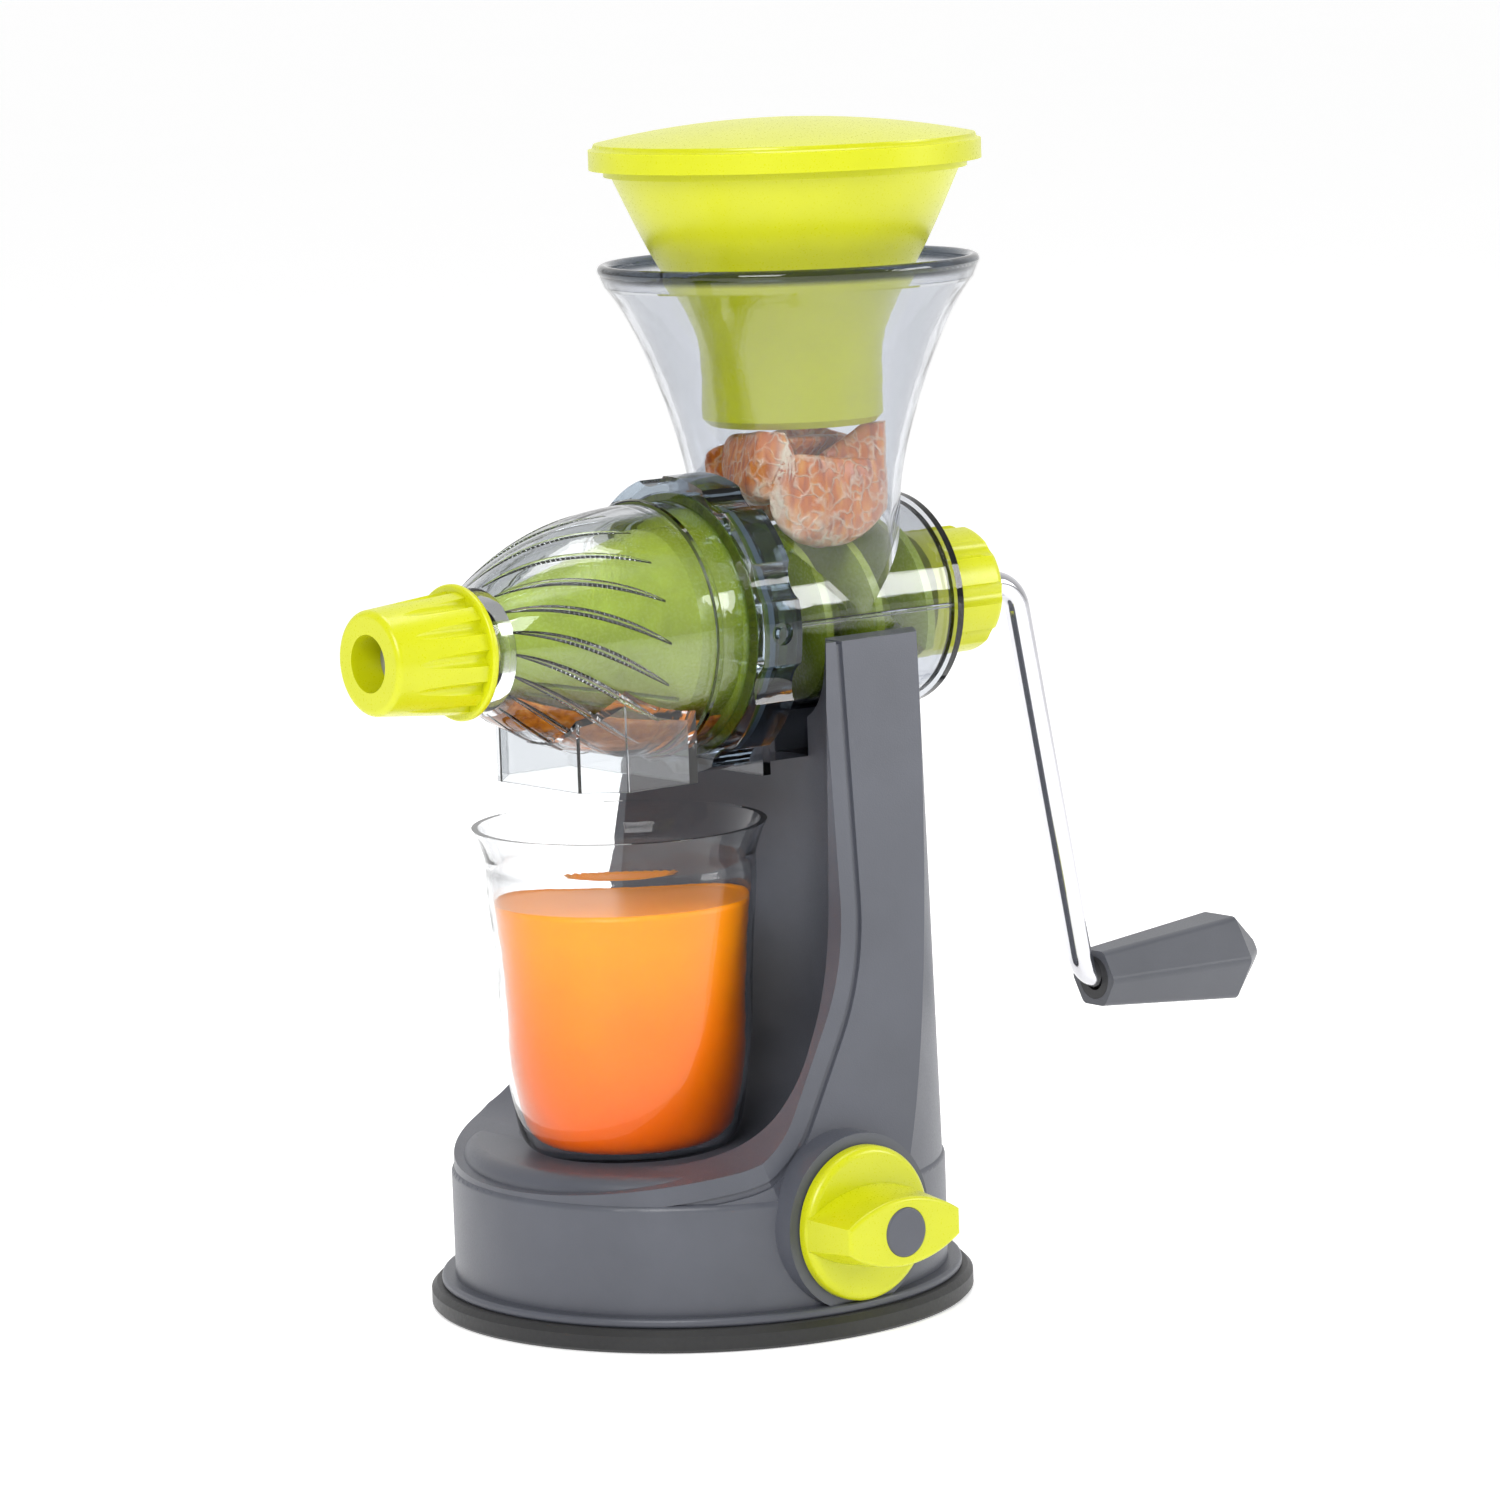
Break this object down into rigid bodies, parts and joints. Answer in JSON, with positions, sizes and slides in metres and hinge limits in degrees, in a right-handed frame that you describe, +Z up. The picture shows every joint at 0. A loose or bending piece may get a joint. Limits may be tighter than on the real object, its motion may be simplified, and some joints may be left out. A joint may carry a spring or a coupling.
{
  "type": "hand-cranked screw juicer",
  "caption": "Hand-cranked screw juicer on a suction base, with hopper, pusher, cone outlet, bent steel crank and a clear cup.",
  "frame": {"origin": "centre of the suction pad's underside, on the table", "axes": "+Z up; the barrel and auger lie along X with the outlet nozzle at -X and the crank at +X; the vacuum knob faces -Y"},
  "size_m": [0.3107, 0.1649, 0.322],
  "materials": {
    "base_plastic": "fine satin",
    "inner_plastic": "plain",
    "screw_steel": "zinc plated",
    "pad_rubber": "matt",
    "lime_plastic": "satin gloss",
    "cap_plastic": "satin",
    "smoke_plastic": "clear, smoke tinted",
    "seal_rubber": "silicone",
    "olive_plastic": "satin",
    "rod_chrome": "polished",
    "grip_plastic": "satin",
    "bush_plastic": "plain",
    "clear_plastic": "clear"
  },
  "bodies": {
    "stand": {"stand_body": "base_plastic", "base_plate": "inner_plastic", "plate_screws": "screw_steel", "suction_pad": "pad_rubber"},
    "knob": {"vacuum_knob": "lime_plastic", "cam_shaft": "screw_steel", "shaft_clip": "screw_steel", "knob_cap": "cap_plastic", "knob_screw": "screw_steel"},
    "stud": {"pull_stud": "inner_plastic"},
    "barrel_unit": {"barrel": "smoke_plastic", "shaft_seal": "seal_rubber"},
    "cone_unit": {"cone_housing": "smoke_plastic", "strainer": "olive_plastic", "collar_seal": "seal_rubber"},
    "nozzle": {"nozzle_cap": "lime_plastic", "nozzle_seal": "seal_rubber"},
    "crank": {"auger": "olive_plastic", "thrust_washer": "screw_steel", "hub_nut": "lime_plastic", "crank_rod": "rod_chrome", "rod_ring": "screw_steel"},
    "grip_unit": {"grip": "grip_plastic", "grip_bush": "bush_plastic"},
    "pusher": {"pusher_body": "lime_plastic", "pusher_lid": "lime_plastic"},
    "cup_unit": {"cup": "clear_plastic"}
  },
  "joints": [
    {"name": "knob_turn", "type": "hinge", "parent": "stand", "child": "knob", "pos_m": [0, -0.07, 0.03], "axis": [0, -1, 0], "range_deg": [0, 90]},
    {"name": "stud_lift", "type": "slide", "parent": "stand", "child": "stud", "axis": [0, 0, 1], "range_m": [0, 0.0025], "deforming": ["suction_pad"]},
    {"name": "barrel_lift", "type": "slide", "parent": "stand", "child": "barrel_unit", "axis": [0, 0, 1], "range_m": [0, 0.06]},
    {"name": "cone_twist", "type": "hinge", "parent": "barrel_unit", "child": "cone_unit", "pos_m": [0, 0, 0.1862], "axis": [1, 0, 0], "range_deg": [0, 60]},
    {"name": "nozzle_turn", "type": "hinge", "parent": "cone_unit", "child": "nozzle", "pos_m": [-0.09, 0, 0.1862], "axis": [1, 0, 0], "range_deg": [0, 270]},
    {"name": "crank_spin", "type": "hinge", "parent": "barrel_unit", "child": "crank", "pos_m": [0.08, 0, 0.1862], "axis": [1, 0, 0], "continuous": true},
    {"name": "grip_spin", "type": "hinge", "parent": "crank", "child": "grip_unit", "pos_m": [0.17, 0, 0.068], "axis": [1, 0, 0], "continuous": true},
    {"name": "pusher_slide", "type": "slide", "parent": "barrel_unit", "child": "pusher", "axis": [0, 0, 1], "range_m": [0, 0.1]},
    {"name": "cup_slide", "type": "slide", "parent": "stand", "child": "cup_unit", "axis": [-0.995, 0, 0.0995], "range_m": [0, 0.13]}
  ],
  "couplings": [
    {"joint": "stud_lift", "follows": "knob_turn", "m_per_rad": 0.001591}
  ]
}
